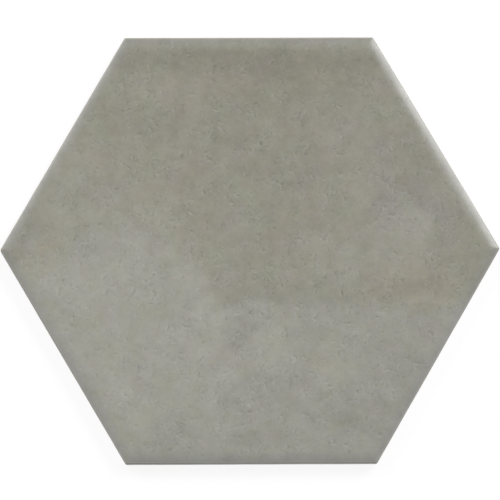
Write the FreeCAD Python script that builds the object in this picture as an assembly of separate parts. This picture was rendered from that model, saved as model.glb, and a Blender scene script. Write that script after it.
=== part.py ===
# Hexagon floor tile: one dust-pressed, glazed porcelain tile, lying on its back with the glazed face up.
#
# The middle of the back is the origin, and +Z points up through the face. Two corners point along +X and -X,
# and two sides face +Y and -Y. Sizes are in millimetres.
#
# The tile is one fired piece, so it is one solid. Its face is flat and falls away in a shallow cushion along
# all six sides. Its sides have an upright land, which faces the next tile across the grout joint, and run in
# below it by the draft of the die. Its back has a honeycomb of shallow cells, which keys into the adhesive.
#
# Each hexagon, the tile and a cell alike, is made as three equal bars that cross, one for each pair of its
# sides. What they share has the same section across every pair of sides, and true mitres at its corners.

import FreeCAD, Part

import math
import os

# The format, over the widest outline of the tile
ACROSS_FLATS = 216.5
THICKNESS = 9.0
CORNER_RADIUS = 1.0

# The cushion edge of the face: it starts CUSHION_WIDTH in from the outline, and would be down by CUSHION_DROP
# at the outline if the arris didn't round it off first
CUSHION_WIDTH = 6.5
CUSHION_DROP = 1.1
ARRIS_RADIUS = 0.7

# The side, from the arris down: the upright land, then the draft, which runs in by DRAFT_INSET down to the
# resting plane, where the edge of the back is broken
LAND_HEIGHT = 3.2
DRAFT_INSET = 0.6
BACK_CHAMFER = 0.6

# The honeycomb of the back, measured in the resting plane: rings of cells round the middle one fill what the
# rim leaves along the sides
RIM_WIDTH = 8.0
RIB_WIDTH = 3.0
CELL_RINGS = 4
CELL_DEPTH = 0.7
CELL_WALL_RUN = 0.5
CELL_CORNER_RADIUS = 2.0

# How far the boss that presses a cell is carried on below the resting plane, so that it cuts cleanly
BOSS_OVERSHOOT = 0.3

# The way that a corner points, in degrees round from +X: a corner of the tile, and a corner of a cell
TILE_CORNER_AT = 0
CELL_CORNER_AT = 30

# Points that differ by less than this in height are level
LEVEL_WITHIN = 0.01

MIDDLE = FreeCAD.Vector(0, 0, 0)
UP = FreeCAD.Vector(0, 0, 1)
HALF_CORNER = math.radians(30)

# From the middle to the side of the honeycomb there are CELL_RINGS rows of cells and half a cell, corner to
# corner, less half a rib
HONEYCOMB_HALF_WIDTH = ACROSS_FLATS / 2 - DRAFT_INSET - BACK_CHAMFER - RIM_WIDTH
HALF_RIB_AT_CORNER = RIB_WIDTH / 2 / math.cos(HALF_CORNER)
ROWS_IN_PITCHES = CELL_RINGS * math.cos(HALF_CORNER) + 1 / (2 * math.cos(HALF_CORNER))
CELL_PITCH = (HONEYCOMB_HALF_WIDTH + HALF_RIB_AT_CORNER) / ROWS_IN_PITCHES


def line(start, end):
    """A straight edge."""
    return Part.LineSegment(start, end).toShape()


def crossed_bars(section, corner_at, corner_radius):
    """The hexagonal solid with this section across each pair of sides, and with its corners rounded.

    The section is a face in the YZ plane, with the middle of the solid at Y = 0.
    """
    bar_length = 2 * section.BoundBox.YLength
    bars = []
    for turn in (0, 60, 120):
        bar = section.extrude(FreeCAD.Vector(bar_length, 0, 0))
        bar.translate(FreeCAD.Vector(-bar_length / 2, 0, 0))
        bar.rotate(MIDDLE, UP, corner_at + turn)
        bars.append(bar)
    sharp = bars[0].common(bars[1]).common(bars[2]).removeSplitter()
    mitres = [edge for edge in sharp.Edges if abs(edge.Vertexes[0].Z - edge.Vertexes[-1].Z) > LEVEL_WITHIN]
    return sharp.makeFillet(corner_radius, mitres)


def side_of_section(side):
    """One side of the tile's section, +1 or -1, from the resting plane up to the flat of the face.

    The arris and the cushion are two arcs. The cushion's is level where the flat begins, and the arris's is
    upright at the outline. Where they meet, both tilt by the same angle, so the surface runs on smoothly.
    """
    cushion_radius = (CUSHION_WIDTH**2 + CUSHION_DROP**2) / (2 * CUSHION_DROP)
    cushion_centre = THICKNESS - cushion_radius
    between_centres = cushion_radius - ARRIS_RADIUS
    meeting = math.asin((CUSHION_WIDTH - ARRIS_RADIUS) / between_centres)
    arris_centre = cushion_centre + between_centres * math.cos(meeting)
    upright = math.pi / 2

    def place(inset, height):
        """A point of the section, inset from the widest outline."""
        return FreeCAD.Vector(0, side * (ACROSS_FLATS / 2 - inset), height)

    def on_arris(tilt):
        """The point of the arris where the surface tilts this much from level."""
        inset = ARRIS_RADIUS * (1 - math.sin(tilt))
        return place(inset, arris_centre + ARRIS_RADIUS * math.cos(tilt))

    def on_cushion(tilt):
        """The point of the cushion where the surface tilts this much from level."""
        inset = CUSHION_WIDTH - cushion_radius * math.sin(tilt)
        return place(inset, cushion_centre + cushion_radius * math.cos(tilt))

    foot = place(DRAFT_INSET, 0)
    foot_of_land = place(0, arris_centre - LAND_HEIGHT)
    top_of_land = on_arris(upright)
    shoulder = on_cushion(0)
    edges = [
        line(foot, foot_of_land),
        line(foot_of_land, top_of_land),
        Part.Arc(top_of_land, on_arris((upright + meeting) / 2), on_arris(meeting)).toShape(),
        Part.Arc(on_cushion(meeting), on_cushion(meeting / 2), shoulder).toShape(),
    ]
    return edges, foot, shoulder


def pressed_blank():
    """The whole tile with a plain back."""
    left, left_foot, left_shoulder = side_of_section(-1)
    right, right_foot, right_shoulder = side_of_section(1)
    across = [line(left_foot, right_foot), line(left_shoulder, right_shoulder)]
    outline = Part.Wire(Part.sortEdges(left + right + across)[0])
    blank = crossed_bars(Part.Face(outline), TILE_CORNER_AT, CORNER_RADIUS)
    back_edges = [edge for edge in blank.Edges if max(end.Z for end in edge.Vertexes) < LEVEL_WITHIN]
    return blank.makeChamfer(BACK_CHAMFER, back_edges)


def cell_boss():
    """The boss of the die that presses the middle cell, with walls that lean by their draft."""
    mouth = (CELL_PITCH - RIB_WIDTH) / 2
    foot = mouth + CELL_WALL_RUN / CELL_DEPTH * BOSS_OVERSHOOT
    floor = mouth - CELL_WALL_RUN
    corners = [(-foot, -BOSS_OVERSHOOT), (foot, -BOSS_OVERSHOOT), (floor, CELL_DEPTH), (-floor, CELL_DEPTH)]
    points = [FreeCAD.Vector(0, across, height) for across, height in corners]
    outline = Part.makePolygon(points + points[:1])
    return crossed_bars(Part.Face(outline), CELL_CORNER_AT, CELL_CORNER_RADIUS)


def cell_places():
    """The middles of the cells, row by row."""
    row_pitch = CELL_PITCH * math.cos(HALF_CORNER)
    places = []
    for row in range(-CELL_RINGS, CELL_RINGS + 1):
        cells_in_row = 2 * CELL_RINGS + 1 - abs(row)
        for place in range(cells_in_row):
            from_middle = place - (cells_in_row - 1) / 2
            places.append(FreeCAD.Vector(from_middle * CELL_PITCH, row * row_pitch, 0))
    return places


def hexagon_tile():
    """The fired tile: the pressed blank, less the cells of its back."""
    boss = cell_boss()
    return pressed_blank().cut([boss.translated(place) for place in cell_places()])


os.makedirs("parts", exist_ok=True)
tile = hexagon_tile()
tile.exportStep("parts/hexagon_tile.step")

box = tile.optimalBoundingBox()
print(f"hexagon_tile: {len(tile.Solids)} solid, {len(tile.Faces)} faces, valid {tile.isValid()}")
print(f"{box.XLength:.2f} x {box.YLength:.2f} x {box.ZLength:.2f} mm, {tile.Volume / 1000:.1f} cm3")
print(f"{len(cell_places())} cells in the back")
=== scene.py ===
# %% [markdown]
# A glazed hexagon floor tile, seen from straight above
#
# The tile is one piece of pressed and fired porcelain, about 25 cm across its corners and 9 mm thick. Its
# face carries a satin glaze that looks like fine concrete: a warm olive grey over the upper half, a lighter
# and cooler grey below, with clouds, mottling and short dark marks in both. The solid part comes in as a
# fixed frame. This file builds the detailed surface of the tile round it, gives it its finishes, and sets
# up a small studio.
#
# The frame could be shown as it is, with a material on it. A mesh of our own is used instead, because the
# glaze has soft waves, the edges wander a little, and the tile needs three finishes, while the frame's mesh
# stays as it is.

# %% Load the frame
import math

import bpy
from mathutils import Matrix, Vector, noise
from mathutils.geometry import delaunay_2d_cdt


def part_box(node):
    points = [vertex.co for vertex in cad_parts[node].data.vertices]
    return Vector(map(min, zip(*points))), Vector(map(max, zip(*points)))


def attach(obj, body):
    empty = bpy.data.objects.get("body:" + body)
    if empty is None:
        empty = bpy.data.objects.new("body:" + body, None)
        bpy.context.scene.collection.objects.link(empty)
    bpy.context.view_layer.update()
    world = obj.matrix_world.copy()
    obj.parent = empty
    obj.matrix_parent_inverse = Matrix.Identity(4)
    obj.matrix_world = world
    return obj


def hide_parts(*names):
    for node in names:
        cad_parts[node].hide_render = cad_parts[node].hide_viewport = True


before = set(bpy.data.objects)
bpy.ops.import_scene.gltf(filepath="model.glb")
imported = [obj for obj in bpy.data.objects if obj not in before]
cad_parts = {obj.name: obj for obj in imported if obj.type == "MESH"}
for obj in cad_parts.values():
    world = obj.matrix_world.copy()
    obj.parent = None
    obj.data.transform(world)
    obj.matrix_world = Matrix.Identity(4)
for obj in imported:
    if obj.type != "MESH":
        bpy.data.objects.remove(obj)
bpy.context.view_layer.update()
tile_low, tile_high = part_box("hexagon_tile")

# %% [markdown]
# The sizes are those of a real tile, in millimetres, because that is how a tile maker thinks of them. The
# thickness and the width across the flats are read from the frame. The others could be measured on the
# frame's mesh too, but as named numbers they are easier to follow, so they repeat the tile's drawing: the
# cushion is the shallow curve along the sides of the face, the arris is the small round where it turns
# down, the land is the upright part of the side, and below that the side runs in by the draft of the die.

# %% Sizes of the tile in millimetres
MM = 0.001
HALF_FLATS = (tile_high.y - tile_low.y) / 2 / MM
THICKNESS = (tile_high.z - tile_low.z) / MM
CORNER_RADIUS = 1.0
CUSHION_WIDTH = 6.5
CUSHION_DROP = 1.1
ARRIS_RADIUS = 0.7
LAND_HEIGHT = 3.2
DRAFT_INSET = 0.6
BACK_CHAMFER = 0.6
RIM_WIDTH = 8.0
RIB_WIDTH = 3.0
CELL_RINGS = 4
CELL_DEPTH = 0.7
CELL_WALL_RUN = 0.5
CELL_CORNER_RADIUS = 2.0
SIXTH = math.radians(60)
HALF_CORNER = math.radians(30)
print(f"across flats {2 * HALF_FLATS:.2f} mm, thickness {THICKNESS:.2f} mm")

# %% [markdown]
# The outline of the tile, at any height, is a hexagon with rounded corners. It could be drawn as a curve
# and bevelled, but a plain list of points gives full control: every ring has the same number of points, so
# two neighbouring rings join with one strip of four-sided faces.

# %% A ring of points round a hexagon
SIDE_STEPS = 110
CORNER_STEPS = 6


def hexagon_ring(half_width, corner_radius, corner_at=0.0, side_steps=SIDE_STEPS, corner_steps=CORNER_STEPS):
    """Points round a hexagon with rounded corners, anticlockwise from just before the first corner."""
    arc_centre = (half_width - corner_radius) / math.cos(HALF_CORNER)

    def on_corner(step, share):
        """A point of one corner's arc, where share runs from 0 to 1 along it."""
        corner = corner_at + SIXTH * step
        turn = corner + SIXTH * (share - 0.5)
        x = arc_centre * math.cos(corner) + corner_radius * math.cos(turn)
        y = arc_centre * math.sin(corner) + corner_radius * math.sin(turn)
        return Vector((x, y))

    ring = []
    for step in range(6):
        ring += [on_corner(step, place / corner_steps) for place in range(corner_steps + 1)]
        start = on_corner(step, 1.0)
        end = on_corner(step + 1, 0.0)
        ring += [start.lerp(end, place / side_steps) for place in range(1, side_steps)]
    return ring


print("points in a ring:", len(hexagon_ring(HALF_FLATS, CORNER_RADIUS)))

# %% [markdown]
# The edge has a section of its own, from the flat of the face down to the plane that the tile rests on. Two
# arcs that meet at the same tilt make the cushion and the arris, as on a die that was milled and polished.
# A bevel modifier could round the edge too, but it knows only one radius. A short list of places, worked
# out from the sizes, can have both.

# %% The section of the edge
FLAT_MARGIN = 1.0
MITRE_SOFTNESS = 0.35
BACK_CORNER_RADIUS = 0.4
CUSHION_PLACES = 13
ARRIS_PLACES = 9
LAND_PLACES = 8
DRAFT_PLACES = 6
CHAMFER_PLACES = 4


def evenly(first, last, count):
    """count values from first to last, both included."""
    return [first + (last - first) * step / (count - 1) for step in range(count)]


cushion_radius = (CUSHION_WIDTH**2 + CUSHION_DROP**2) / (2 * CUSHION_DROP)
cushion_centre = THICKNESS - cushion_radius
between_centres = cushion_radius - ARRIS_RADIUS
meeting_tilt = math.asin((CUSHION_WIDTH - ARRIS_RADIUS) / between_centres)
LAND_TOP = cushion_centre + between_centres * math.cos(meeting_tilt)
LAND_FOOT = LAND_TOP - LAND_HEIGHT


def softened(inset):
    """The corner radius on the cushion: the mitre grows softer towards the flat of the face."""
    return CORNER_RADIUS + MITRE_SOFTNESS * inset


def edge_section():
    """The edge from the face to the resting plane, as (inset, height, corner radius)."""
    first_inset = CUSHION_WIDTH + FLAT_MARGIN
    section = [(first_inset, THICKNESS, softened(first_inset))]
    for tilt in evenly(0.0, meeting_tilt, CUSHION_PLACES):
        inset = CUSHION_WIDTH - cushion_radius * math.sin(tilt)
        section.append((inset, cushion_centre + cushion_radius * math.cos(tilt), softened(inset)))
    for tilt in evenly(meeting_tilt, math.pi / 2, ARRIS_PLACES)[1:]:
        inset = ARRIS_RADIUS * (1 - math.sin(tilt))
        section.append((inset, LAND_TOP + ARRIS_RADIUS * math.cos(tilt), softened(inset)))
    for height in evenly(LAND_TOP, LAND_FOOT, LAND_PLACES)[1:]:
        section.append((0.0, height, CORNER_RADIUS))
    for share in evenly(0.0, 1.0, DRAFT_PLACES)[1:]:
        height = LAND_FOOT + (BACK_CHAMFER - LAND_FOOT) * share
        section.append((DRAFT_INSET * share, height, CORNER_RADIUS))
    for share in evenly(0.0, 1.0, CHAMFER_PLACES)[1:]:
        inset = DRAFT_INSET + BACK_CHAMFER * share
        radius = CORNER_RADIUS + (BACK_CORNER_RADIUS - CORNER_RADIUS) * share
        section.append((inset, BACK_CHAMFER * (1 - share), radius))
    return section


SECTION = edge_section()
print(f"section of {len(SECTION)} places, land from {LAND_FOOT:.2f} to {LAND_TOP:.2f} mm")

# %% [markdown]
# No fired tile is perfectly flat or straight. The body moves a little in the kiln, which leaves waves some
# centimetres long, and the glaze settles with a faint peel. Both are far too low to see as height, but they
# bend reflections, so the satin sheen looks alive. They could come from a displace modifier. Working them
# out point by point keeps them in the mesh itself, and keeps the tile inside its true size, because every
# wave only ever takes the surface inwards.

# %% Waves of the face and of the edge
# Each wave has a depth, a length, and a start of its own in the noise, so that no two run alike
FIRED_WAVE = (0.06, 48.0, 3.7)
GLAZE_PEEL = (0.012, 5.5, 11.3)
EDGE_WANDER = (0.10, 17.0, 7.1)
EDGE_GRAIN = (0.03, 3.0, 5.9)


def wave(x, y, z, kind):
    """A smooth random value from 0 to the depth of this kind of wave."""
    depth, length, start = kind
    smooth = noise.noise(Vector((x / length + start, y / length, z / length)))
    return depth * (0.5 + 0.5 * max(-1.0, min(1.0, smooth)))


def face_relief(x, y):
    """How far the glazed face lies below its highest level at this place."""
    return wave(x, y, 0.0, FIRED_WAVE) + wave(x, y, 0.0, GLAZE_PEEL)


def edge_relief(x, y, z):
    """How far the side lies in from its true line at this place."""
    return wave(x, y, 0.0, EDGE_WANDER) + wave(x, y, z, EDGE_GRAIN)


def on_tile(flat_place, height, side_share=0.0):
    """A point of the fired tile.

    side_share is 0 on the face, 1 on the side, and between them on the cushion.
    """
    x, y = flat_place
    inwards = 1.0 - side_share * edge_relief(x, y, height) / HALF_FLATS
    return Vector((x * inwards, y * inwards, height - (1 - side_share) * face_relief(x, y)))


print(f"relief at the middle of the face: {face_relief(0, 0):.3f} mm")

# %% [markdown]
# All points and faces go into one set of lists, which becomes one mesh at the end. Blender's bmesh could
# build them step by step as well, but plain lists are faster and easier to follow. Each face also notes its
# finish: glazed, bare fired body, or the washed plane of the back.

# %% Lists that the mesh is built from
GLAZED, BARE, WASHED = 0, 1, 2
points = []
faces = []
finishes = []


def add_points(new_points):
    """Adds points, and returns their numbers."""
    first = len(points)
    points.extend(new_points)
    return list(range(first, len(points)))


def add_face(corners, finish):
    """Adds one face with its finish."""
    faces.append(corners)
    finishes.append(finish)


def add_strip(inner, outer, finish):
    """Joins two rings of equal count with four-sided faces that look away from the tile."""
    for here in range(len(inner)):
        there = (here + 1) % len(inner)
        add_face((inner[here], outer[here], outer[there], inner[there]), finish)


print("finishes:", GLAZED, BARE, WASHED)

# %% [markdown]
# The flat of the face is a lattice of nearly equal triangles in hexagonal rings. It fits the hexagon
# without a single cut cell, which a square grid can't do, and it is fine enough to carry the waves of the
# glaze.

# %% The flat of the face
LATTICE_RINGS = 96
LATTICE_MARGIN = 1.9


def corner_of_lattice(step, reach):
    """A corner of a hexagonal ring whose corners lie this far from the middle."""
    return Vector((reach * math.cos(SIXTH * step), reach * math.sin(SIXTH * step)))


def face_lattice():
    """Adds the lattice, and returns its outermost ring of points."""
    full_reach = (HALF_FLATS - CUSHION_WIDTH - LATTICE_MARGIN) / math.cos(HALF_CORNER)
    inner = add_points([on_tile(Vector((0.0, 0.0)), THICKNESS)])
    for ring in range(1, LATTICE_RINGS + 1):
        reach = full_reach * ring / LATTICE_RINGS
        places = []
        for step in range(6):
            start = corner_of_lattice(step, reach)
            end = corner_of_lattice(step + 1, reach)
            places += [start.lerp(end, place / ring) for place in range(ring)]
        outer = add_points([on_tile(place, THICKNESS) for place in places])
        for step in range(6):
            for place in range(ring):
                near = outer[step * ring + place]
                far = outer[(step * ring + place + 1) % len(outer)]
                back = inner[(step * (ring - 1) + place) % len(inner)]
                add_face((near, far, back), GLAZED)
                if place:
                    before = inner[(step * (ring - 1) + place - 1) % len(inner)]
                    add_face((before, near, back), GLAZED)
        inner = outer
    return inner


lattice_edge = face_lattice()
print("lattice:", len(points), "points,", len(faces), "triangles")

# %% [markdown]
# The rings of the edge have more points at their corners than the lattice has, so the two are joined by a
# zip: it walks round both rings at once and always closes the triangle that lags behind. Bridge Edge Loops
# could join them as well, but where the counts differ, it leaves to chance which points meet.

# %% A zip between two rings
def turn_of(number):
    """The direction of a point from the middle of the tile, in radians."""
    return math.atan2(points[number].y, points[number].x)


def unwound(ring):
    """The directions round a ring as ever larger angles, with the way back to its start."""
    turns = [turn_of(ring[0])]
    for number in ring[1:] + ring[:1]:
        turn = turn_of(number)
        while turn < turns[-1]:
            turn += 2 * math.pi
        turns.append(turn)
    return turns


def zip_rings(inner, outer, finish):
    """Joins two rings of different counts with triangles."""
    inner_turns = unwound(inner)
    outer_turns = unwound(outer)
    near = far = 0
    while near < len(inner) or far < len(outer):
        inner_next = inner_turns[near + 1] if near < len(inner) else math.inf
        outer_next = outer_turns[far + 1] if far < len(outer) else math.inf
        a = inner[near % len(inner)]
        b = outer[far % len(outer)]
        if outer_next <= inner_next:
            far += 1
            add_face((a, b, outer[far % len(outer)]), finish)
        else:
            near += 1
            add_face((a, b, inner[near % len(inner)]), finish)


print("points to zip on the side of the lattice:", len(lattice_edge))

# %% [markdown]
# Now each place of the section becomes a ring round the tile, and neighbouring rings are joined. A curve
# with the section as its bevel could run round the outline too, but then the edge couldn't wander, and its
# corners couldn't grow softer towards the face. The edge of a real tile wanders more than its face does, so
# the cushion passes softly from the waves of the face to those of the side. The glaze ends at the foot of
# the land, and below it the faces are noted as bare.

# %% The edge of the tile
LEVEL_WITHIN = 0.01


def side_share(inset, height):
    """0 where the flat of the face begins, 1 from the land down."""
    if height <= LAND_TOP:
        return 1.0
    return max(0.0, min(1.0, 1 - inset / CUSHION_WIDTH)) ** 2


rings = []
for inset, height, radius in SECTION:
    places = hexagon_ring(HALF_FLATS - inset, radius)
    share = side_share(inset, height)
    rings.append(add_points([on_tile(place, height, share) for place in places]))

zip_rings(lattice_edge, rings[0], GLAZED)
for upper, lower, place in zip(rings, rings[1:], SECTION[1:]):
    glazed = place[1] > LAND_FOOT - LEVEL_WITHIN
    add_strip(upper, lower, GLAZED if glazed else BARE)
print("with the edge:", len(points), "points,", len(faces), "faces")

# %% [markdown]
# The back of such a tile is pressed with a honeycomb of shallow cells, so that the adhesive can key into
# it. An array modifier could repeat one cell, but not in a hexagon of rows. So a loop places them, and each
# cell is made of rings again: a rounded mouth, a leaning wall and a rounded foot.

# %% The cells of the back
LIP = 0.05
CELL_SIDE_STEPS = 4
CELL_CORNER_STEPS = 3
honeycomb_half_width = HALF_FLATS - DRAFT_INSET - BACK_CHAMFER - RIM_WIDTH
half_rib_at_corner = RIB_WIDTH / 2 / math.cos(HALF_CORNER)
rows_in_pitches = CELL_RINGS * math.cos(HALF_CORNER) + 1 / (2 * math.cos(HALF_CORNER))
CELL_PITCH = (honeycomb_half_width + half_rib_at_corner) / rows_in_pitches

# From the mouth to the floor, as inset and depth. Small shares of LIP round off both ends of the wall
CELL_SECTION = [
    (0.0, 0.0),
    (LIP * 0.6, LIP * 0.5),
    (LIP * 1.6, LIP * 1.9),
    (CELL_WALL_RUN - LIP * 1.6, CELL_DEPTH - LIP * 1.9),
    (CELL_WALL_RUN - LIP * 0.3, CELL_DEPTH - LIP * 0.5),
    (CELL_WALL_RUN + LIP, CELL_DEPTH),
]


def cell_middles():
    """The middles of the cells, row by row."""
    middles = []
    for row in range(-CELL_RINGS, CELL_RINGS + 1):
        cells_in_row = 2 * CELL_RINGS + 1 - abs(row)
        for place in range(cells_in_row):
            x = (place - (cells_in_row - 1) / 2) * CELL_PITCH
            middles.append(Vector((x, row * CELL_PITCH * math.cos(HALF_CORNER))))
    return middles


def add_cell(middle):
    """Adds one cell, and returns the ring of its mouth."""
    half_mouth = (CELL_PITCH - RIB_WIDTH) / 2
    cell_rings = []
    for inset, depth in CELL_SECTION:
        radius = CELL_CORNER_RADIUS - inset
        ring = hexagon_ring(half_mouth - inset, radius, HALF_CORNER, CELL_SIDE_STEPS, CELL_CORNER_STEPS)
        cell_rings.append(add_points([Vector((*(middle + place), depth)) for place in ring]))
    for mouth_side, floor_side in zip(cell_rings, cell_rings[1:]):
        add_strip(mouth_side, floor_side, BARE)
    centre = add_points([Vector((*middle, CELL_DEPTH))])[0]
    last = cell_rings[-1]
    for here in range(len(last)):
        add_face((last[here], centre, last[(here + 1) % len(last)]), BARE)
    return cell_rings[0]


mouths = [add_cell(middle) for middle in cell_middles()]
print(f"{len(mouths)} cells, {CELL_PITCH:.2f} mm apart")

# %% [markdown]
# What is left between the cells, the ribs and the rim, is one flat plane with many holes. Filling it by
# hand would be hopeless, and a Boolean modifier struggles where its cutters end in the plane that they cut.
# A constrained triangulation keeps every outline that it is given and fills the rest. It fills the mouths
# of the cells too, so those triangles are passed over.

# %% The ribs and the rim of the back
INSIDE_OUTLINES = 1
SAME_PLACE_WITHIN = 1e-5

loops = [rings[-1]] + mouths
flat_numbers = [number for loop in loops for number in loop]
loop_of = {number: index for index, loop in enumerate(loops) for number in loop}
flat_places = [points[number].xy for number in flat_numbers]
flat_edges = []
start = 0
for loop in loops:
    flat_edges += [(start + here, start + (here + 1) % len(loop)) for here in range(len(loop))]
    start += len(loop)

filled = delaunay_2d_cdt(flat_places, flat_edges, [], INSIDE_OUTLINES, SAME_PLACE_WITHIN, True)
_, _, triangles, origins, _, _ = filled
sources = [flat_numbers[origin[0]] for origin in origins]
plane_faces = 0
for triangle in triangles:
    corners = [sources[corner] for corner in triangle]
    in_loops = {loop_of[corner] for corner in corners}
    if len(in_loops) == 1 and 0 not in in_loops:
        continue
    add_face(tuple(reversed(corners)), WASHED)
    plane_faces += 1
print("ribs and rim:", plane_faces, "triangles")

# %% [markdown]
# All lists are full, so the mesh can be made in one go. Smooth shading hides the facets of the curves, and
# edges that turn by more than 28 degrees stay sharp, which keeps the break of the back crisp. A modifier
# could find the sharp edges too. Marked in the mesh, they also go along when it is exported.

# %% The mesh of the tile
SHARP_FROM = math.radians(28)

mesh = bpy.data.meshes.new("glazed_tile")
mesh.from_pydata([point * MM for point in points], [], faces)
mesh.polygons.foreach_set("material_index", finishes)
mesh.polygons.foreach_set("use_smooth", [True] * len(faces))
mesh.set_sharp_from_angle(angle=SHARP_FROM)
mesh.validate()
tile = bpy.data.objects.new("glazed_tile", mesh)
bpy.context.scene.collection.objects.link(tile)
triangle_count = sum(len(polygon.vertices) - 2 for polygon in mesh.polygons)
print("tile:", len(mesh.vertices), "points,", triangle_count, "triangles")

# %% [markdown]
# Materials are made of nodes. They could be placed by hand in the shader editor, but as code they can be
# read from top to bottom, and made again. These few helpers add a node, set its numbers and link its
# sockets in one line, so that each material below reads like a recipe. A value that is itself a socket gets
# linked, and any other value is set on the socket.

# %% Helpers that add and feed nodes
def feed(tree, socket, value):
    """Links a socket to another one, or sets its value."""
    if isinstance(value, bpy.types.NodeSocket):
        tree.links.new(value, socket)
    else:
        socket.default_value = value


def add_node(tree, kind, inputs=None, **properties):
    """Adds a node with its properties and inputs set."""
    made = tree.nodes.new(kind)
    for name, value in properties.items():
        setattr(made, name, value)
    for name, value in (inputs or {}).items():
        feed(tree, made.inputs[name], value)
    return made


print("node helpers:", feed.__name__, add_node.__name__)

# %% [markdown]
# Most nodes of a material only reckon with numbers and colours. Each helper below stands for one such node
# or a few, so a formula reads from left to right, as it would on paper.

# %% Helpers for numbers and colours
def calculate(tree, operation, *values):
    """The result of a Math node."""
    return add_node(tree, "ShaderNodeMath", dict(enumerate(values)), operation=operation).outputs[0]


def ease(tree, value, start, end, low=0.0, high=1.0):
    """Runs softly from low to high while the value runs from start to end."""
    inputs = {0: value, 1: start, 2: end, 3: low, 4: high}
    return add_node(tree, "ShaderNodeMapRange", inputs, interpolation_type="SMOOTHSTEP").outputs[0]


def blend(tree, factor, first, second, way="MIX"):
    """Mixes two colours."""
    inputs = {0: factor, 6: first, 7: second}
    return add_node(tree, "ShaderNodeMix", inputs, data_type="RGBA", blend_type=way).outputs[2]


def scaled(tree, colour, factor, warming=0.0):
    """The colour times a factor. Warming takes a little more blue where it darkens."""
    blue = calculate(tree, "POWER", factor, 1.0 + warming)
    grey = add_node(tree, "ShaderNodeCombineColor", {0: factor, 1: factor, 2: blue}).outputs[0]
    return blend(tree, 1.0, colour, grey, "MULTIPLY")


print("number and colour helpers:", ease.__name__, blend.__name__, scaled.__name__)

# %% [markdown]
# A place is three numbers at once: x, y and z. These helpers move, turn and measure it. A texture that is
# given a squeezed or turned place draws its pattern squeezed or turned, which is the main trick of the
# print below.

# %% Helpers for places
def on_place(tree, operation, *places):
    """The place that a Vector Math node gives."""
    return add_node(tree, "ShaderNodeVectorMath", dict(enumerate(places)), operation=operation).outputs[0]


def scaled_place(tree, place, factor):
    """The place times a factor."""
    inputs = {0: place, "Scale": factor}
    return add_node(tree, "ShaderNodeVectorMath", inputs, operation="SCALE").outputs[0]


def measured(tree, operation, *places):
    """The number that a Vector Math node gives, such as a length."""
    made = add_node(tree, "ShaderNodeVectorMath", dict(enumerate(places)), operation=operation)
    return made.outputs["Value"]


def place_from(tree, x, y, z):
    """A place from its three parts."""
    return add_node(tree, "ShaderNodeCombineXYZ", {0: x, 1: y, 2: z}).outputs[0]


def part_of_place(tree, place, axis):
    """The x, y or z of a place, by its number from 0 to 2."""
    return add_node(tree, "ShaderNodeSeparateXYZ", {0: place}).outputs[axis]


def turned_place(tree, place, angle):
    """The place turned round the Z axis."""
    inputs = {"Vector": place, "Angle": angle}
    return add_node(tree, "ShaderNodeVectorRotate", inputs, rotation_type="Z_AXIS").outputs[0]


def moved_place(tree, place, x, y):
    """The place moved by this much."""
    return on_place(tree, "ADD", place, (x, y, 0.0))


print("place helpers:", scaled_place.__name__, turned_place.__name__, moved_place.__name__)

# %% [markdown]
# Noise is the most useful texture for anything cast, fired or worn. Its size is given in millimetres here,
# and not as a scale, so that it can be set against the real tile. A texture that is used twice is moved
# aside the second time, or both would show their spots at the same places.

# %% Helpers for noise
def one_over(tree, value):
    """1 divided by a number, or by what a socket gives."""
    if isinstance(value, bpy.types.NodeSocket):
        return calculate(tree, "DIVIDE", 1.0, value)
    return 1.0 / value


def noise_at(tree, place, size, detail=2.0, roughness=0.5):
    """A noise texture whose clouds are about this many millimetres wide."""
    inputs = {"Vector": place, "Scale": one_over(tree, size), "Detail": detail, "Roughness": roughness}
    return add_node(tree, "ShaderNodeTexNoise", inputs)


def cloud(tree, place, size, detail=2.0, roughness=0.5):
    """Such noise as a value from 0 to 1, with 0.5 in the middle."""
    return noise_at(tree, place, size, detail, roughness).outputs[0]


print("noise helpers:", noise_at.__name__, cloud.__name__)

# %% [markdown]
# An effect that several materials share, or that is used more than once, is a node group: a small tree with
# named inputs and outputs. A function could add all its nodes anew each time, but then the trees would grow
# very large. A group is built once and then placed like a node, each time with its own values.

# %% Helpers for node groups
VECTOR, FLOAT, COLOUR = "NodeSocketVector", "NodeSocketFloat", "NodeSocketColor"


def new_group(name, inputs, outputs):
    """A shader node group, with the sockets that it is given and its output node.

    Inputs and outputs are (name, kind) pairs.
    """
    group = bpy.data.node_groups.new(name, "ShaderNodeTree")
    for socket_name, kind in inputs:
        group.interface.new_socket(name=socket_name, in_out="INPUT", socket_type=kind)
    for socket_name, kind in outputs:
        group.interface.new_socket(name=socket_name, in_out="OUTPUT", socket_type=kind)
    given = group.nodes.new("NodeGroupInput").outputs[: len(inputs)]
    return group, given, group.nodes.new("NodeGroupOutput")


def use_group(tree, group, **inputs):
    """Places a group in a tree, and returns its outputs."""
    made = tree.nodes.new("ShaderNodeGroup")
    made.node_tree = group
    for name, value in inputs.items():
        feed(tree, made.inputs[name], value)
    return made.outputs


print("socket kinds:", VECTOR, FLOAT, COLOUR)

# %% [markdown]
# Several effects need to know where on the tile a point is, in millimetres, and how far it lies in from the
# outline. The inset of a hexagon is simple: take the largest of the distances along the three directions
# that look square at the sides, and subtract it from the half width. A texture painted by hand could do the
# same, but this stays sharp at any zoom.

# %% Groups: place on the tile, and inset from its outline
def place_group():
    """Puts out the place on the tile, in millimetres."""
    group, _, out = new_group("place_on_tile", [], [("Place", VECTOR)])
    where = group.nodes.new("ShaderNodeTexCoord").outputs["Object"]
    feed(group, out.inputs["Place"], scaled_place(group, where, 1 / MM))
    return group


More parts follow.
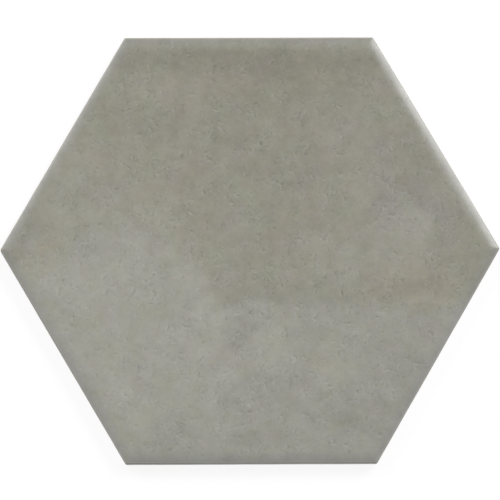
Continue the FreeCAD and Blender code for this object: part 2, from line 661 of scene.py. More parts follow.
def inset_group():
    """Puts out how many millimetres a place lies in from the outline of the tile."""
    group, (place,), out = new_group("inset_from_outline", [("Place", VECTOR)], [("Inset", FLOAT)])
    widest = 0.0
    for step in range(3):
        side = HALF_CORNER + SIXTH * step
        along = measured(group, "DOT_PRODUCT", place, (math.cos(side), math.sin(side), 0.0))
        widest = calculate(group, "MAXIMUM", widest, calculate(group, "ABSOLUTE", along))
    feed(group, out.inputs["Inset"], calculate(group, "SUBTRACT", HALF_FLATS, widest))
    return group


PLACE = place_group()
INSET = inset_group()
print("groups:", PLACE.name, INSET.name)

# %% [markdown]
# Specks are scattered dots of random size, such as pinholes in the glaze or grains of iron in the body.
# They could be scattered as small discs, but there would be thousands of them. A Voronoi texture gives each
# point the distance to its nearest random centre, and a random colour for that centre. The distance makes
# the dot, and the colour decides how large and how strong it is, and whether there is a dot at all.

# %% Group: scattered specks
def speck_group():
    """Puts out up to 1 inside random specks and 0 between them.

    Radius is the largest speck's, in millimetres. Stretch makes the specks longer, and Turn turns them.
    """
    wanted = [("Place", VECTOR)]
    wanted += [(name, FLOAT) for name in ("Spacing", "Radius", "Share", "Stretch", "Turn")]
    group, given, out = new_group("specks", wanted, [("Mask", FLOAT)])
    place, spacing, radius, share, stretch, turn = given
    squeeze = place_from(group, one_over(group, stretch), 1.0, 1.0)
    squeezed = on_place(group, "MULTIPLY", turned_place(group, place, turn), squeeze)
    cells = add_node(group, "ShaderNodeTexVoronoi", {"Vector": squeezed, "Scale": one_over(group, spacing)})
    random = add_node(group, "ShaderNodeSeparateColor", {"Color": cells.outputs["Color"]}).outputs
    reach = calculate(group, "DIVIDE", radius, spacing)
    size = calculate(group, "MULTIPLY", reach, ease(group, random[0], 0.0, 1.0, 0.4, 1.0))
    dot = ease(group, calculate(group, "DIVIDE", cells.outputs["Distance"], size), 1.2, 0.4)
    chosen = calculate(group, "LESS_THAN", random[1], share)
    strong = calculate(group, "MULTIPLY_ADD", calculate(group, "POWER", random[2], 2.0), 0.85, 0.15)
    strong = calculate(group, "MULTIPLY", chosen, strong)
    feed(group, out.inputs["Mask"], calculate(group, "MULTIPLY", dot, strong))
    return group


SPECKS = speck_group()
print("group:", SPECKS.name)

# %% [markdown]
# Under the glaze, the fired body is a pale, slightly sandy grey-beige with a few grains of iron. It shows
# on the lower part of the sides and on the back. One flat colour would do from afar, but the back is looked
# at closely too. It is a group, because three materials use it: it goes on below the foot of the glaze, it
# lies bare in the cells of the back, and on the ribs between them it shows through a thin wash.

# %% Group: fired body
PALE_BODY = (0.47, 0.43, 0.37, 1)
DEEP_BODY = (0.40, 0.36, 0.30, 1)
BODY_SAND = (0.30, 0.26, 0.21, 1)
IRON = (0.16, 0.11, 0.07, 1)
IRON_GRAINS = {"Spacing": 3.2, "Radius": 0.4, "Share": 0.5, "Stretch": 1.0, "Turn": 0.0}


def body_group():
    """Puts out the colour, roughness and height of the bare fired body."""
    outputs = [("Colour", COLOUR), ("Roughness", FLOAT), ("Height", FLOAT)]
    group, (place,), out = new_group("fired_body", [("Place", VECTOR)], outputs)
    clouds = cloud(group, place, 14.0, detail=3.0)
    sand = cloud(group, place, 0.7, detail=3.0, roughness=0.65)
    iron = use_group(group, SPECKS, Place=place, **IRON_GRAINS)[0]
    colour = blend(group, ease(group, clouds, 0.3, 0.7), DEEP_BODY, PALE_BODY)
    colour = blend(group, ease(group, sand, 0.35, 0.75, 0.0, 0.35), colour, BODY_SAND)
    colour = blend(group, calculate(group, "MULTIPLY", iron, 0.6), colour, IRON)
    feed(group, out.inputs["Colour"], colour)
    feed(group, out.inputs["Roughness"], ease(group, clouds, 0.3, 0.7, 0.78, 0.9))
    feed(group, out.inputs["Height"], sand)
    return group


BODY = body_group()
print("group:", BODY.name)

# %% [markdown]
# The face looks like cast concrete, because the printer lays soft fields and patches of ink over each
# other. Real ink never has a clean edge. A wider border would only look blurred, so the place is pushed
# about by noise before any shape is drawn. Every border that is drawn from the drifted place then frays by
# itself.

# %% Group: drifted place
def drift_group():
    """Moves a place about softly. Drift is how far, in millimetres, and Size is the width of the noise."""
    wanted = [("Place", VECTOR), ("Drift", FLOAT), ("Size", FLOAT)]
    group, (place, drift, size), out = new_group("drifted_place", wanted, [("Place", VECTOR)])
    swirl = noise_at(group, place, size, detail=4.0, roughness=0.7).outputs["Color"]
    centred = on_place(group, "SUBTRACT", swirl, (0.5, 0.5, 0.5))
    push = scaled_place(group, centred, drift)
    feed(group, out.inputs["Place"], on_place(group, "ADD", place, push))
    return group


DRIFT = drift_group()
print("group:", DRIFT.name)

# %% [markdown]
# A patch is an oval of ink with a wide, soft border. Many of them, each of them faint, build up a cloudy
# look, as a painter's sponge would. One large noise could make clouds too, but not at chosen places.

# %% Group: a soft patch of the print
def patch_group():
    """Puts out 1 in the middle of an oval patch and 0 far from it.

    Softness is how far its border spreads to either side, as a share of its reach.
    """
    wanted = [("Place", VECTOR), ("Middle", VECTOR), ("Reach", VECTOR), ("Softness", FLOAT)]
    group, (place, middle, reach, softness), out = new_group("soft_patch", wanted, [("Mask", FLOAT)])
    away = on_place(group, "DIVIDE", on_place(group, "SUBTRACT", place, middle), reach)
    far = measured(group, "LENGTH", away)
    outer = calculate(group, "ADD", 1.0, softness)
    inner = calculate(group, "SUBTRACT", 1.0, softness)
    feed(group, out.inputs["Mask"], ease(group, far, outer, inner))
    return group


PATCH = patch_group()
ANY_DEPTH = 1000.0


def add_patch(tree, place, middle, reach, softness=0.65):
    """The mask of one patch, whose middle and reach are given across and up the face.

    It reaches through the tile, so that the side of the tile is patched as the face above it is.
    """
    middle = (*middle, 0.0)
    reach = (*reach, ANY_DEPTH)
    return use_group(tree, PATCH, Place=place, Middle=middle, Reach=reach, Softness=softness)[0]


print("group:", PATCH.name)

# %% [markdown]
# These are the patches of the print that the eye picks out, each with its middle, its reach, and how much it
# lightens, darkens or tints the ink. They were set one by one: first some, and then others where a render
# still measured lighter, darker or warmer than the photo. The large light field on the left has a step in
# its border, and four ovals make it together.

# %% The lighter field and the lighter patches
LEFT_FIELD = [
    ("middle", (-72, -38), (50, 37), 0.35),
    ("shoulder", (-62, -8), (28, 20), 0.7),
    ("by the step", (-34, -18), (12, 14), 0.6),
    ("below the step", (-24, -44), (12, 20), 0.6),
]
LIGHT_PATCHES = [
    ("left corner", (-104, -7), (14, 12), 0.10),
    ("above the field", (-50, 18), (24, 12), 0.08),
    ("left edge", (-98, 14), (10, 10), 0.06),
    ("above the brown", (76, -12), (14, 8), 0.06),
    ("centre right", (32, -8), (20, 14), 0.05),
    ("top left", (-40, 88), (10, 7), 0.04),
    ("bottom left edge", (-62, -92), (10, 8), 0.07),
    ("low middle", (8, -62), (16, 12), 0.045),
    ("upper left slope", (-62, 44), (24, 10), 0.05),
    ("right of the step", (-10, 0), (14, 22), 0.05),
    ("upper centre", (2, 32), (9, 7), 0.05),
    ("left of the middle", (-76, -14), (22, 8), 0.04),
    ("bottom left", (-52, -75), (24, 15), 0.10),
    ("below the field", (-20, -62), (14, 13), 0.09),
    ("far upper left", (-88, 28), (20, 26), 0.10),
    ("upper left", (-50, 80), (8, 6), 0.06),
    ("left of the step", (-32, -12), (8, 10), 0.05),
    ("broad lower left", (-45, -50), (20, 10), 0.05),
    ("lower left edge", (-70, -66), (10, 14), 0.07),
    ("low streak", (-20, -84), (7, 15), 0.07),
    ("below the step", (-18, -33), (8, 9), 0.09),
    ("middle of the low field", (12, -50), (10, 8), 0.11),
    ("under the border", (14, -35), (10, 6), 0.05),
    ("low right", (43, -60), (12, 8), 0.10),
    ("upper right", (45, 60), (14, 9), 0.05),
    ("right of the middle", (54, 34), (10, 16), 0.08),
    ("middle right", (52, -4), (18, 12), 0.08),
    ("towards the right corner", (78, 8), (13, 14), 0.12),
    ("bottom, left of the middle", (-16, -90), (12, 6), 0.025),
    ("right", (84, 12), (18, 12), 0.03),
    ("below the right", (80, -14), (9, 6), 0.03),
    ("middle of the border", (-14, -28), (20, 7), 0.03),
    ("low towards the right", (84, -40), (10, 7), 0.03),
]
print(len(LEFT_FIELD), "ovals in the left field,", len(LIGHT_PATCHES), "light patches")

# %% [markdown]
# The darker patches lie mostly along the top and the bottom, and down the right. They are kept as faint as
# the light ones. A strong patch would read as a stain, and many faint ones that overlap read as stone.

# %% The darker patches
DARK_PATCHES = [
    ("along the top", (-5, 97), (54, 6), 0.07),
    ("top right", (50, 88), (18, 12), 0.08),
    ("towards the lower right", (86, -37), (10, 8), 0.10),
    ("bottom right corner", (56, -84), (18, 14), 0.05),
    ("bottom towards the left", (-42, -92), (8, 6), 0.07),
    ("near the right corner", (100, 14), (10, 8), 0.09),
    ("top middle left", (-42, 62), (12, 8), 0.04),
    ("top middle", (12, 92), (14, 8), 0.10),
    ("below the top", (18, 76), (22, 11), 0.07),
    ("upper middle", (-10, 62), (8, 14), 0.06),
    ("along the upper right", (82, 47), (9, 22), 0.06),
    ("left of the centre", (-18, 14), (9, 8), 0.03),
    ("lower left middle", (-60, -58), (12, 9), 0.04),
    ("low middle left", (-8, -42), (12, 8), 0.04),
    ("upper right slope", (58, 48), (12, 20), 0.04),
    ("upper right middle", (34, 62), (14, 10), 0.04),
    ("right of the light patch", (60, 2), (8, 8), 0.04),
    ("centre", (16, 38), (20, 16), 0.05),
    ("bottom middle", (10, -72), (9, 6), 0.05),
    ("bottom right", (42, -84), (12, 7), 0.05),
    ("lower right edge", (78, -66), (8, 15), 0.06),
    ("bottom edge", (-2, -98), (15, 4), 0.06),
    ("above the far upper left", (-68, 57), (14, 6), 0.045),
    ("by the top right corner", (66, 77), (6, 9), 0.05),
    ("near the top", (-9, 89), (8, 5), 0.05),
    ("upper middle right", (2, 76), (8, 6), 0.035),
    ("low left middle", (-20, -75), (8, 6), 0.04),
    ("on the lower right slope", (58, -58), (8, 14), 0.02),
    ("under the border, right", (34, -30), (9, 6), 0.06),
    ("right of the low field", (80, -45), (12, 22), 0.025),
    ("foot of the left field", (-62, -62), (14, 6), 0.045),
    ("above the left shoulder", (-77, 7), (12, 8), 0.04),
]
print(len(DARK_PATCHES), "dark patches")

# %% [markdown]
# Stone is never grey in one way only. These patches shift the ink between a warm olive, a neutral grey and
# a faint rose, and hardly change its lightness. A patch could have a colour of its own and do both at once,
# but with tone and tint kept apart, each can be set by itself.

# %% The patches that tint
WARM_PATCHES = [
    ("towards the right corner", (82, -20), (22, 10), 0.45),
    ("low right", (33, -58), (6, 5), 0.45),
    ("low left", (-80, -38), (7, 5), 0.3),
    ("left corner", (-102, 0), (5, 4), 0.6),
    ("top", (12, 90), (44, 15), 0.3),
    ("upper right edge", (76, 33), (7, 10), 0.35),
    ("by the top right corner", (64, 70), (7, 10), 0.3),
]
NEUTRAL_PATCHES = [
    ("far left", (-84, 20), (26, 22), 0.3),
    ("right", (76, 18), (22, 20), 0.45),
    ("upper right", (62, 60), (16, 15), 0.2),
    ("centre", (-9, 2), (7, 24), 0.25),
    ("right of the centre", (52, -8), (18, 9), 0.35),
    ("along the border", (25, -20), (24, 6), 0.15),
    ("left corner", (-109, 7), (7, 9), 0.4),
    ("foot of the step", (-25, -32), (12, 9), 0.35),
]
ROSE_PATCHES = [
    ("right", (76, 18), (24, 22), 0.20),
    ("upper right", (54, 56), (26, 24), 0.10),
    ("top left", (-40, 80), (26, 14), 0.08),
    ("below the border", (20, -36), (18, 7), 0.08),
]
print(len(WARM_PATCHES), "warm,", len(NEUTRAL_PATCHES), "neutral and", len(ROSE_PATCHES), "rosy patches")

# %% [markdown]
# The tone of the print is one number per place: the two lighter fields first, then all patches added up.
# One field is the ovals on the left, and the other is everything below a level line across the face. Drift
# is what turns these plain ovals and that straight border into cloudy ones. A painted picture could hold
# all this, but here each number can still be changed, and no zoom shows a pixel.

# %% Group: tone of the print
FIELD_DRIFT = 26.0
LOW_FIELD_BORDER = (-22.0, -31.0)
PLAIN_TONE = 0.95
LEFT_FIELD_GAIN = 0.26
LOW_FIELD_GAIN = 0.16


def add_fields(tree, place, softer):
    """The masks of the two lighter fields: the left one, and the one along the bottom."""
    left = 0.0
    for _, middle, reach, softness in LEFT_FIELD:
        left = calculate(tree, "MAXIMUM", left, add_patch(tree, place, middle, reach, softness * softer))
    return left, ease(tree, part_of_place(tree, place, 1), *LOW_FIELD_BORDER)


def add_patches(tree, place, patches, sign, value):
    """Adds the patches to a value, or takes them from it."""
    for _, middle, reach, strength in patches:
        patch = add_patch(tree, place, middle, reach)
        value = calculate(tree, "MULTIPLY_ADD", patch, sign * strength, value)
    return value


def tone_group():
    """Puts out how light the ink is, around 1."""
    group, (place,), out = new_group("tone_of_print", [("Place", VECTOR)], [("Tone", FLOAT)])
    place = use_group(group, DRIFT, Place=place, Drift=FIELD_DRIFT, Size=19.0)[0]
    left, low = add_fields(group, place, 1.2)
    left = calculate(group, "MULTIPLY", left, LEFT_FIELD_GAIN)
    low = calculate(group, "MULTIPLY", low, LOW_FIELD_GAIN)
    tone = calculate(group, "ADD", calculate(group, "MAXIMUM", left, low), PLAIN_TONE)
    tone = add_patches(group, place, LIGHT_PATCHES, 1, tone)
    tone = add_patches(group, place, DARK_PATCHES, -1, tone)
    feed(group, out.inputs["Tone"], tone)
    return group


TONE = tone_group()
print("group:", TONE.name)

# %% [markdown]
# The tint of the print works in the same way, with two numbers: how neutral the ink is, and how rosy. Noise
# of its own is added, because on the real tile the tint also changes in spots of about a centimetre.

# %% Group: tint of the print
PLAIN_NEUTRAL = 0.25
FIELD_NEUTRAL = 0.65
TINT_MOTTLE = 2.0


def tint_group():
    """Puts out Neutral, 0 where the ink is warm and 1 where it is neutral, and Rose, how rosy it is."""
    outputs = [("Neutral", FLOAT), ("Rose", FLOAT)]
    group, (true_place,), out = new_group("tint_of_print", [("Place", VECTOR)], outputs)
    place = use_group(group, DRIFT, Place=true_place, Drift=FIELD_DRIFT, Size=14.0)[0]
    left, low = add_fields(group, place, 0.7)
    fields = calculate(group, "MAXIMUM", left, low)
    neutral = calculate(group, "MULTIPLY_ADD", fields, FIELD_NEUTRAL, PLAIN_NEUTRAL)
    neutral = add_patches(group, place, WARM_PATCHES, -1, neutral)
    neutral = add_patches(group, place, NEUTRAL_PATCHES, 1, neutral)
    mottle = calculate(group, "SUBTRACT", cloud(group, true_place, 11.0, detail=4.0, roughness=0.75), 0.5)
    neutral = calculate(group, "MULTIPLY_ADD", mottle, TINT_MOTTLE, neutral)
    feed(group, out.inputs["Neutral"], neutral)
    feed(group, out.inputs["Rose"], add_patches(group, place, ROSE_PATCHES, 1, 0.0))
    return group


TINT = tint_group()
print("group:", TINT.name)

# %% [markdown]
# Over the fields and patches lies the grain of the print, which makes it look like sanded concrete. Its
# softest part is crumbs. The specks from above could stand for them, but they are too round. A crumb is
# only noise that rises above a threshold, which gives it the ragged outline of a drop of ink, and a second,
# wider noise lifts and lowers the threshold, so that crumbs gather in clusters.

# %% Group: crumbs
def crumb_group():
    """Puts out 1 inside ragged crumbs and 0 between them.

    Size is how wide a crumb is, and Cluster how wide a cluster, in millimetres. Cover is their share.
    """
    wanted = [("Place", VECTOR), ("Size", FLOAT), ("Cover", FLOAT), ("Cluster", FLOAT)]
    group, (place, size, cover, cluster), out = new_group("crumbs", wanted, [("Mask", FLOAT)])
    fine = cloud(group, place, size, detail=1.0)
    crowd = cloud(group, place, cluster, roughness=0.6)
    threshold = calculate(group, "SUBTRACT", 0.75, calculate(group, "MULTIPLY", cover, 0.35))
    crowding = calculate(group, "SUBTRACT", crowd, 0.5)
    threshold = calculate(group, "MULTIPLY_ADD", crowding, -0.35, threshold)
    feed(group, out.inputs["Mask"], ease(group, calculate(group, "SUBTRACT", fine, threshold), 0.0, 0.09))
    return group


CRUMBS = crumb_group()
print("group:", CRUMBS.name)

# %% [markdown]
# The sharpest part of the grain is short dark dashes, each with a light one close beside it. The light one
# is painted light, as on the lit rim of a small dent, so that the pair looks like a dent in rough plaster.
# Tiny curves could be scattered for them, but noise that is drawn out along one direction gives thousands of
# dashes for a few nodes.

# %% Group: dashes
def dash_group():
    """Puts out short dashes, and a light one close beside each, which is painted light, as on the lit rim of
    a small dent.

    A dash is a peak of noise that is drawn out along one direction. Turn turns that direction.
    """
    wanted = [("Place", VECTOR)]
    wanted += [(name, FLOAT) for name in ("Width", "Length", "Turn", "Cover")]
    group, given, out = new_group("dashes", wanted, [("Dark", FLOAT), ("Light", FLOAT)])
    place, width, length, turn, cover = given
    size = place_from(group, length, width, width)
    drawn_out = on_place(group, "DIVIDE", turned_place(group, place, turn), size)
    for name, beside in (("Dark", 0.0), ("Light", 0.5)):
        peaks = cloud(group, moved_place(group, drawn_out, 0.1, beside), 1.0, detail=1.0)
        feed(group, out.inputs[name], ease(group, calculate(group, "ADD", peaks, cover), 0.68, 0.90))
    return group


DASHES = dash_group()
print("group:", DASHES.name)

# %% [markdown]
# The glaze starts with its inks. They lie near to each other, all of them a grey-brown, and the groups
# above say where each one goes. One colour ramp could hold them all, but then a lighter place would always
# have the same tint. A green and a rose tinge, from the two ends of one noise, keep the greys from looking
# flat. Towards the outline the ink gets greyer, because the glaze runs off the cushion and lies thinner
# there.

# %% The colour of the inks
WARM_INK = (0.259, 0.246, 0.192, 1)
NEUTRAL_INK = (0.2497, 0.2464, 0.2175, 1)
GREEN_INK = (0.239, 0.253, 0.187, 1)
ROSE_INK = (0.261, 0.239, 0.216, 1)
EDGE_GREY = (0.243, 0.246, 0.235, 1)
EDGE_GREY_BAND = (7.0, 0.5)
MOTTLE_NEUTRAL = 0.9
TINGE_START = (70.0, 70.0)


def ink_colour(tree, place, inset, mottle):
    """The colour of the inks, before the tone makes them lighter or darker."""
    tint = use_group(tree, TINT, Place=place)
    neutral = calculate(tree, "MULTIPLY_ADD", mottle, MOTTLE_NEUTRAL, tint["Neutral"])
    colour = blend(tree, neutral, WARM_INK, NEUTRAL_INK)
    colour = blend(tree, tint["Rose"], colour, ROSE_INK)
    tinge = cloud(tree, moved_place(tree, place, *TINGE_START), 13.0, detail=3.0, roughness=0.75)
    most = ease(tree, tint["Neutral"], 0.3, 0.9, 0.52, 0.34)
    colour = blend(tree, ease(tree, tinge, 0.48, 0.72, 0.0, most), colour, GREEN_INK)
    colour = blend(tree, ease(tree, tinge, 0.52, 0.28, 0.0, most), colour, ROSE_INK)
    return blend(tree, ease(tree, inset, *EDGE_GREY_BAND, 0.0, 0.5), colour, EDGE_GREY)


print("warm ink:", WARM_INK[:3], "neutral ink:", NEUTRAL_INK[:3])

# %% [markdown]
# The tone of the whole face is the tone of the print with mottling over it. Along the top side the face is
# darker in a band just below the cushion. The cushion on that side is darkened a little too, which is
# painted shade that tones down its sheen. Two soft steps that are multiplied make such a band, which a patch
# could only make as an oval.

# %% The tone of the face
MOTTLE_TONE = 0.52
TOP_BAND_TONE = -0.07
TOP_BAND_RISES = (82.0, 98.0)
TOP_BAND_FALLS = (103.5, 99.5)
# Painted shade on the top cushion, which tones down its sheen
TOP_CUSHION_PAINTED_SHADE = -0.06
TOP_CUSHION = (103.0, 106.5)


def face_tone(tree, place, mottle):
    """How light the ink is at a place, around 1, with painted shade on the top cushion."""
    tone = calculate(tree, "MULTIPLY_ADD", mottle, MOTTLE_TONE, use_group(tree, TONE, Place=place)[0])
    up_the_face = part_of_place(tree, place, 1)
    rises = ease(tree, up_the_face, *TOP_BAND_RISES)
    falls = ease(tree, up_the_face, *TOP_BAND_FALLS)
    tone = calculate(tree, "MULTIPLY_ADD", calculate(tree, "MULTIPLY", rises, falls), TOP_BAND_TONE, tone)
    # Painted shade: the top cushion is made a little darker
    return calculate(tree, "ADD", tone, ease(tree, up_the_face, *TOP_CUSHION, 0.0, TOP_CUSHION_PAINTED_SHADE))


print("mottling changes the tone by up to", MOTTLE_TONE / 2)

# %% [markdown]
# The marks are crumbs, dashes in three directions, and dots, and beside each dark dash a light one that is
# painted light. They don't have a colour of their own. Each makes the ink below it darker or lighter by a
# share, so that it looks the same on warm and on pale ground. They fade towards the outline, where the glaze
# has run, and a little on the palest ground. The darker ones are pits too.

# %% The marks of the grain
DASH_TURNS = (0.1, 1.2, 2.2)
DASH_STARTS_APART = 50.0
DASH_START_UP = 20.0
CRUMB_TONE = -0.08
PAINTED_LIGHT_DASH_TONE = 0.17
# The light dashes are painted light, as on the lit rim of a small dent beside each dark dash
DARK_DASH_TONE = -0.23
DOT_TONE = -0.22
DOTS = {"Spacing": 3.6, "Radius": 0.8, "Share": 0.5, "Stretch": 1.6, "Turn": 0.6}
MARKS_FULL_BY = (0.5, 7.5)
PITS_FULL_BY = (2.0, 8.5)


def grain_marks(tree, place, inset, tone):
    """The factor by which the marks change the ink, and a mask of those that are pits in the glaze."""
    ragged = use_group(tree, DRIFT, Place=place, Drift=4.2, Size=3.0)[0]
    crumbs = use_group(tree, CRUMBS, Place=ragged, Size=3.4, Cover=0.34, Cluster=12.0)[0]
    cover = ease(tree, cloud(tree, place, 11.0), 0.36, 0.62, 0.01, 0.10)
    dark = 0.0
    light = 0.0
    for turn in DASH_TURNS:
        spot = moved_place(tree, ragged, DASH_STARTS_APART * turn, DASH_START_UP)
        dashes = use_group(tree, DASHES, Place=spot, Width=1.9, Length=3.1, Turn=turn, Cover=cover)
        dark = calculate(tree, "MAXIMUM", dark, dashes["Dark"])
        # Painted light: the light dashes beside the dark ones
        light = calculate(tree, "MAXIMUM", light, dashes["Light"])
    dots = use_group(tree, SPECKS, Place=ragged, **DOTS)[0]
    marks = 0.0
    tones = ((crumbs, CRUMB_TONE), (light, PAINTED_LIGHT_DASH_TONE), (dark, DARK_DASH_TONE), (dots, DOT_TONE))
    for mask, change in tones:
        marks = calculate(tree, "MULTIPLY_ADD", mask, change, marks)
    marks = calculate(tree, "MULTIPLY", marks, ease(tree, inset, *MARKS_FULL_BY, 0.3, 1.0))
    marks = calculate(tree, "MULTIPLY", marks, ease(tree, tone, 0.98, 1.2, 1.0, 0.78))
    pits = calculate(tree, "MAXIMUM", dots, dark)
    pits = calculate(tree, "MULTIPLY", pits, ease(tree, inset, *PITS_FULL_BY))
    return calculate(tree, "ADD", marks, 1.0), pits


print("dashes turned by", DASH_TURNS, "radians")

# %% [markdown]
# The glaze has some height too, far too fine for the mesh: sand that shows through it, the peel that it
# sets with, the pits of the darker marks, and the step at its foot. True displacement would need millions
# of points for it, so a bump node turns these heights into shading. All of them are in millimetres, so the
# bump distance is one millimetre.

# %% The relief of the glaze
SAND_HEIGHT = 0.010
PEEL_HEIGHT = 0.03
PIT_DEPTH = 0.04
GLAZE_THICKNESS = 0.08


def glaze_normal(tree, place, pits, glazed):
    """The normal that the fine relief of the glaze gives."""
    sand = calculate(tree, "MULTIPLY", cloud(tree, place, 0.8), SAND_HEIGHT)
    peel = calculate(tree, "MULTIPLY", cloud(tree, place, 4.0, detail=1.0), PEEL_HEIGHT)
    pitted = calculate(tree, "MULTIPLY", pits, -PIT_DEPTH)
    lift = calculate(tree, "MULTIPLY_ADD", glazed, GLAZE_THICKNESS, pitted)
    relief = calculate(tree, "ADD", calculate(tree, "ADD", sand, peel), lift)
    return add_node(tree, "ShaderNodeBump", {"Distance": MM, "Height": relief}).outputs[0]


print("the foot of the glaze is a step of", GLAZE_THICKNESS, "mm")

# %% [markdown]
# Now the parts come together in one material. The glaze ends on the side of the tile, in a foot that wanders
# a little, and the bare body goes on below it. Just at the outline the colour is paler: partly because the
# glaze is thin there, and partly as painted light on the arris and the land, which lie in shade, most of all
# on the sides that look away from the boxes. A clear coat over a matt colour is the other way to make a
# glaze. This one is satin right through, so a single layer with a roughness of about a third is nearer to
# it, and it is a little cloudy as well.

# %% Material: satin glaze
# A paler colour along the outline: thinner glaze, and painted light on the arris and the land
THIN_GLAZE_AND_PAINTED_LIGHT = (0.40, 0.385, 0.34, 1)
THIN_GLAZE_AND_LIGHT_BAND = (1.2, 0.1)
GLAZE_FOOT_LOWEST = 4.5
GLAZE_FOOT_WANDER = 1.4
GLAZE_IOR = 1.55
BARE_ROUGHER = 0.45
MARK_WARMING = 0.15


def node_material(name):
    """A material, with its node tree, its shader and the place on the tile."""
    material = bpy.data.materials.new(name)
    material.use_nodes = True
    tree = material.node_tree
    return material, tree, tree.nodes["Principled BSDF"], use_group(tree, PLACE)[0]


def glaze_material():
    """The satin, stone-like glaze of the face, with the bare body below its foot on the side."""
    material, tree, shader, place = node_material("satin_glaze")
    inset = use_group(tree, INSET, Place=place)[0]
    mottle = calculate(tree, "SUBTRACT", cloud(tree, place, 7.5, detail=3.0, roughness=0.78), 0.5)
    tone = face_tone(tree, place, mottle)
    marks, pits = grain_marks(tree, place, inset, tone)
    colour = scaled(tree, ink_colour(tree, place, inset, mottle), tone)
    colour = scaled(tree, colour, marks, warming=MARK_WARMING)
    # Thin glaze and painted light: the outline, arris and land are made paler
    colour = blend(tree, ease(tree, inset, *THIN_GLAZE_AND_LIGHT_BAND, 0.0, 0.8), colour, THIN_GLAZE_AND_PAINTED_LIGHT)

    foot = calculate(tree, "MULTIPLY_ADD", cloud(tree, place, 9.0), GLAZE_FOOT_WANDER, GLAZE_FOOT_LOWEST)
    above_foot = calculate(tree, "SUBTRACT", part_of_place(tree, place, 2), foot)
    glazed = ease(tree, above_foot, -0.08, 0.12)
    colour = blend(tree, glazed, use_group(tree, BODY, Place=place)["Colour"], colour)
    satin = ease(tree, cloud(tree, place, 16.0, detail=3.0), 0.3, 0.7, 0.30, 0.37)
    bare = calculate(tree, "SUBTRACT", 1.0, glazed)
    feed(tree, shader.inputs["Base Color"], colour)
    feed(tree, shader.inputs["Roughness"], calculate(tree, "MULTIPLY_ADD", bare, BARE_ROUGHER, satin))
    feed(tree, shader.inputs["Normal"], glaze_normal(tree, place, pits, glazed))
    shader.inputs["IOR"].default_value = GLAZE_IOR
    return material


mesh.materials.append(glaze_material())
print("nodes in the glaze:", len(mesh.materials[0].node_tree.nodes))

# %% [markdown]
# Before firing, the back gets a thin white wash, so that the tile doesn't stick to the rollers of the kiln.
# It stays on what touches them, the ribs and the rim, and only traces of it reach the cells and the sides.
# One material with a mask for the wash could cover both. But the mesh already knows its ribs, so two
# materials do, and they differ only in how much of the wash covers the body.

# %% Materials: bare body and washed back
KILN_WASH = (0.62, 0.60, 0.56, 1)
BODY_RELIEF = 0.06


def bare_material(name, wash):
    """The fired body. wash is how much of the kiln wash covers it."""
    material, tree, shader, place = node_material(name)
    body = use_group(tree, BODY, Place=place)
    worn = ease(tree, cloud(tree, place, 6.0, detail=4.0, roughness=0.7), 0.38, 0.6, 0.0, wash)
    feed(tree, shader.inputs["Base Color"], blend(tree, worn, body["Colour"], KILN_WASH))
    feed(tree, shader.inputs["Roughness"], body["Roughness"])
    bump = add_node(tree, "ShaderNodeBump", {"Distance": BODY_RELIEF * MM, "Height": body["Height"]})
    feed(tree, shader.inputs["Normal"], bump.outputs[0])
    return material


mesh.materials.append(bare_material("bare_body", 0.15))
mesh.materials.append(bare_material("washed_back", 0.75))
print("materials:", [material.name for material in mesh.materials])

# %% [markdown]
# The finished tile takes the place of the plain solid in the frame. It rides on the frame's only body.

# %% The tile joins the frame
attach(tile, "root")
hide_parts("hexagon_tile")
print("the tile stands for the frame's hexagon_tile")

# %% [markdown]
# The studio is a wide white floor, two soft boxes and a dim white room. A floor that is white only by light
# would need so much of it that the tile would wash out. So the floor is grey, and adds a glow that only the
# camera, reflections and clear materials see, and it still shows a faint shadow. It is clear when seen from
# below, so that the back can be looked at, and clear to short diffuse rays, or it would shut out the light
# from the back that lies on it.

# %% The material of the floor
GREY_TO_CAMERA = 0.12
GREY_TO_LIGHT = 0.3
GLOW_NEAR = 0.9
GLOW_FAR = 1.0
NEAR = 0.3
FAR = 1.5
CLOSE_BY = 4 * MM


def seen_by_camera(tree, path):
    """1 for camera rays, and for what the camera sees in a reflection or through a clear material."""
    seen = calculate(tree, "MAXIMUM", path["Is Camera Ray"], path["Is Glossy Ray"])
    return calculate(tree, "MAXIMUM", seen, path["Is Transmission Ray"])


def floor_material():
    """White ground that keeps a faint shadow, and is clear from below and to short diffuse rays."""
    material = bpy.data.materials.new("white_floor")
    material.use_nodes = True
    tree = material.node_tree
    tree.nodes.remove(tree.nodes["Principled BSDF"])
    path = tree.nodes.new("ShaderNodeLightPath").outputs
    seen = seen_by_camera(tree, path)
    grey = ease(tree, seen, 0.0, 1.0, GREY_TO_LIGHT, GREY_TO_CAMERA)
    lit = add_node(tree, "ShaderNodeBsdfDiffuse", {"Color": grey}).outputs[0]
    where = tree.nodes.new("ShaderNodeTexCoord").outputs["Object"]
    brightness = ease(tree, measured(tree, "LENGTH", where), NEAR, FAR, GLOW_NEAR, GLOW_FAR)
    strength = calculate(tree, "MULTIPLY", seen, brightness)
    glow = add_node(tree, "ShaderNodeEmission", {"Color": (1, 1, 1, 1), "Strength": strength}).outputs[0]
    white = add_node(tree, "ShaderNodeAddShader", {0: lit, 1: glow}).outputs[0]
    below = tree.nodes.new("ShaderNodeNewGeometry").outputs["Backfacing"]
    close = calculate(tree, "LESS_THAN", path["Ray Length"], CLOSE_BY)
    close = calculate(tree, "MULTIPLY", close, path["Is Diffuse Ray"])
    hidden = calculate(tree, "MAXIMUM", below, close)
    clear = tree.nodes.new("ShaderNodeBsdfTransparent").outputs[0]
    surface = add_node(tree, "ShaderNodeMixShader", {0: hidden, 1: white, 2: clear}).outputs[0]
    feed(tree, tree.nodes["Material Output"].inputs["Surface"], surface)
    return material


print("the floor glows by", GLOW_NEAR, "near the tile")

# %% [markdown]
# The floor itself is one large square. It lies a tenth of a millimetre below the tile, because two surfaces
# in the same plane show through each other in spots.

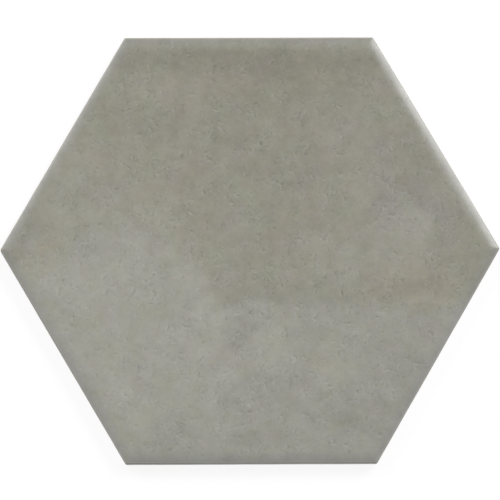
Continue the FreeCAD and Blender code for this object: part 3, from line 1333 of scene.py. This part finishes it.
# %% Floor
FLOOR_HALF = 4.0
FLOOR_GAP = 0.0001

floor_mesh = bpy.data.meshes.new("floor")
corner_signs = ((-1, -1), (1, -1), (1, 1), (-1, 1))
floor_corners = [(x * FLOOR_HALF, y * FLOOR_HALF, -FLOOR_GAP) for x, y in corner_signs]
floor_mesh.from_pydata(floor_corners, [], [(0, 1, 2, 3)])
floor_mesh.materials.append(floor_material())
floor = bpy.data.objects.new("floor", floor_mesh)
bpy.context.scene.collection.objects.link(floor)
print("floor:", 2 * FLOOR_HALF, "metres wide")

# %% [markdown]
# The strong box stands to the upper right. It draws the bright line along that edge, where the cushion
# turns towards it. The weak box, to the upper left, is larger, which gives that edge a softer and fainter
# line. Point lamps could light the tile too, but a line along a cushion needs a wide source. And a larger
# box at the same power is dimmer at each spot, so the sheen on the flat of the face stays low.

# %% Lights
BOX_DISTANCE = 3.0


def soft_box(name, turn, rise, size, power):
    """A square light that looks at the tile from this direction.

    turn is in degrees from +X, and rise in degrees above the floor. size is in metres and power in watts.
    """
    turn, rise = math.radians(turn), math.radians(rise)
    way = Vector((math.cos(turn) * math.cos(rise), math.sin(turn) * math.cos(rise), math.sin(rise)))
    lamp = bpy.data.lights.new(name, "AREA")
    lamp.size = size
    lamp.energy = power
    box = bpy.data.objects.new(name, lamp)
    box.location = way * BOX_DISTANCE
    box.rotation_euler = way.to_track_quat("Z", "Y").to_euler()
    box.visible_camera = False
    bpy.context.scene.collection.objects.link(box)


soft_box("strong_box", 42, 42.5, 1.55, 69.5)
soft_box("weak_box", 140, 33, 2.3, 54.5)
print("lights:", [light.name for light in bpy.data.lights])

# %% [markdown]
# The room gives a little even light from everywhere. It could be left black, because the boxes give the
# main light, but then the sides that look away from them would be black too. To the camera, and in
# reflections, the room is plain white.

# %% World
FILL_LIGHT = 0.24

world = bpy.data.worlds.new("white_room")
bpy.context.scene.world = world
world.use_nodes = True
room = world.node_tree
seen = seen_by_camera(room, room.nodes.new("ShaderNodeLightPath").outputs)
feed(room, room.nodes["Background"].inputs["Strength"], ease(room, seen, 0.0, 1.0, FILL_LIGHT, 1.0))
feed(room, room.nodes["Background"].inputs["Color"], (1, 1, 1, 1))
print("fill light:", FILL_LIGHT)

# %% [markdown]
# The camera looks almost straight down through a long lens, like a catalogue picture of a tile. One without
# any perspective would come close to it, but no real lens is like that. Its tilt of 10 degrees makes a
# regular hexagon look 1.5 percent lower than from straight above, as this one does. Tilt, roll and lens
# were fitted to the six corners of the tile, which hardly tell the distance.

# %% Camera
CAMERA_DISTANCE = 3.0
CAMERA_LENS = 430.8
SENSOR_WIDTH = 36.0
CAMERA_TILT_DOWN = -10.1
CAMERA_TILT_SIDE = 0.97
CAMERA_ROLL = 0.37
CAMERA_ASIDE = (0.08, 0.95)
SEES_TO = 100.0


def tilted(degrees, axis):
    """A rotation round one axis."""
    return Matrix.Rotation(math.radians(degrees), 3, axis)


lens = bpy.data.cameras.new("camera")
lens.lens = CAMERA_LENS
lens.sensor_width = SENSOR_WIDTH
lens.clip_end = SEES_TO
camera = bpy.data.objects.new("camera", lens)
turned = tilted(CAMERA_TILT_DOWN, "X") @ tilted(CAMERA_TILT_SIDE, "Y") @ tilted(CAMERA_ROLL, "Z")
from_tile = Matrix.Translation((CAMERA_ASIDE[0] * MM, CAMERA_ASIDE[1] * MM, CAMERA_DISTANCE))
camera.matrix_world = turned.transposed().to_4x4() @ from_tile
bpy.context.scene.collection.objects.link(camera)
bpy.context.scene.camera = camera
bpy.context.scene.view_settings.view_transform = "Standard"
print("camera at", tuple(round(value, 3) for value in camera.matrix_world.translation))
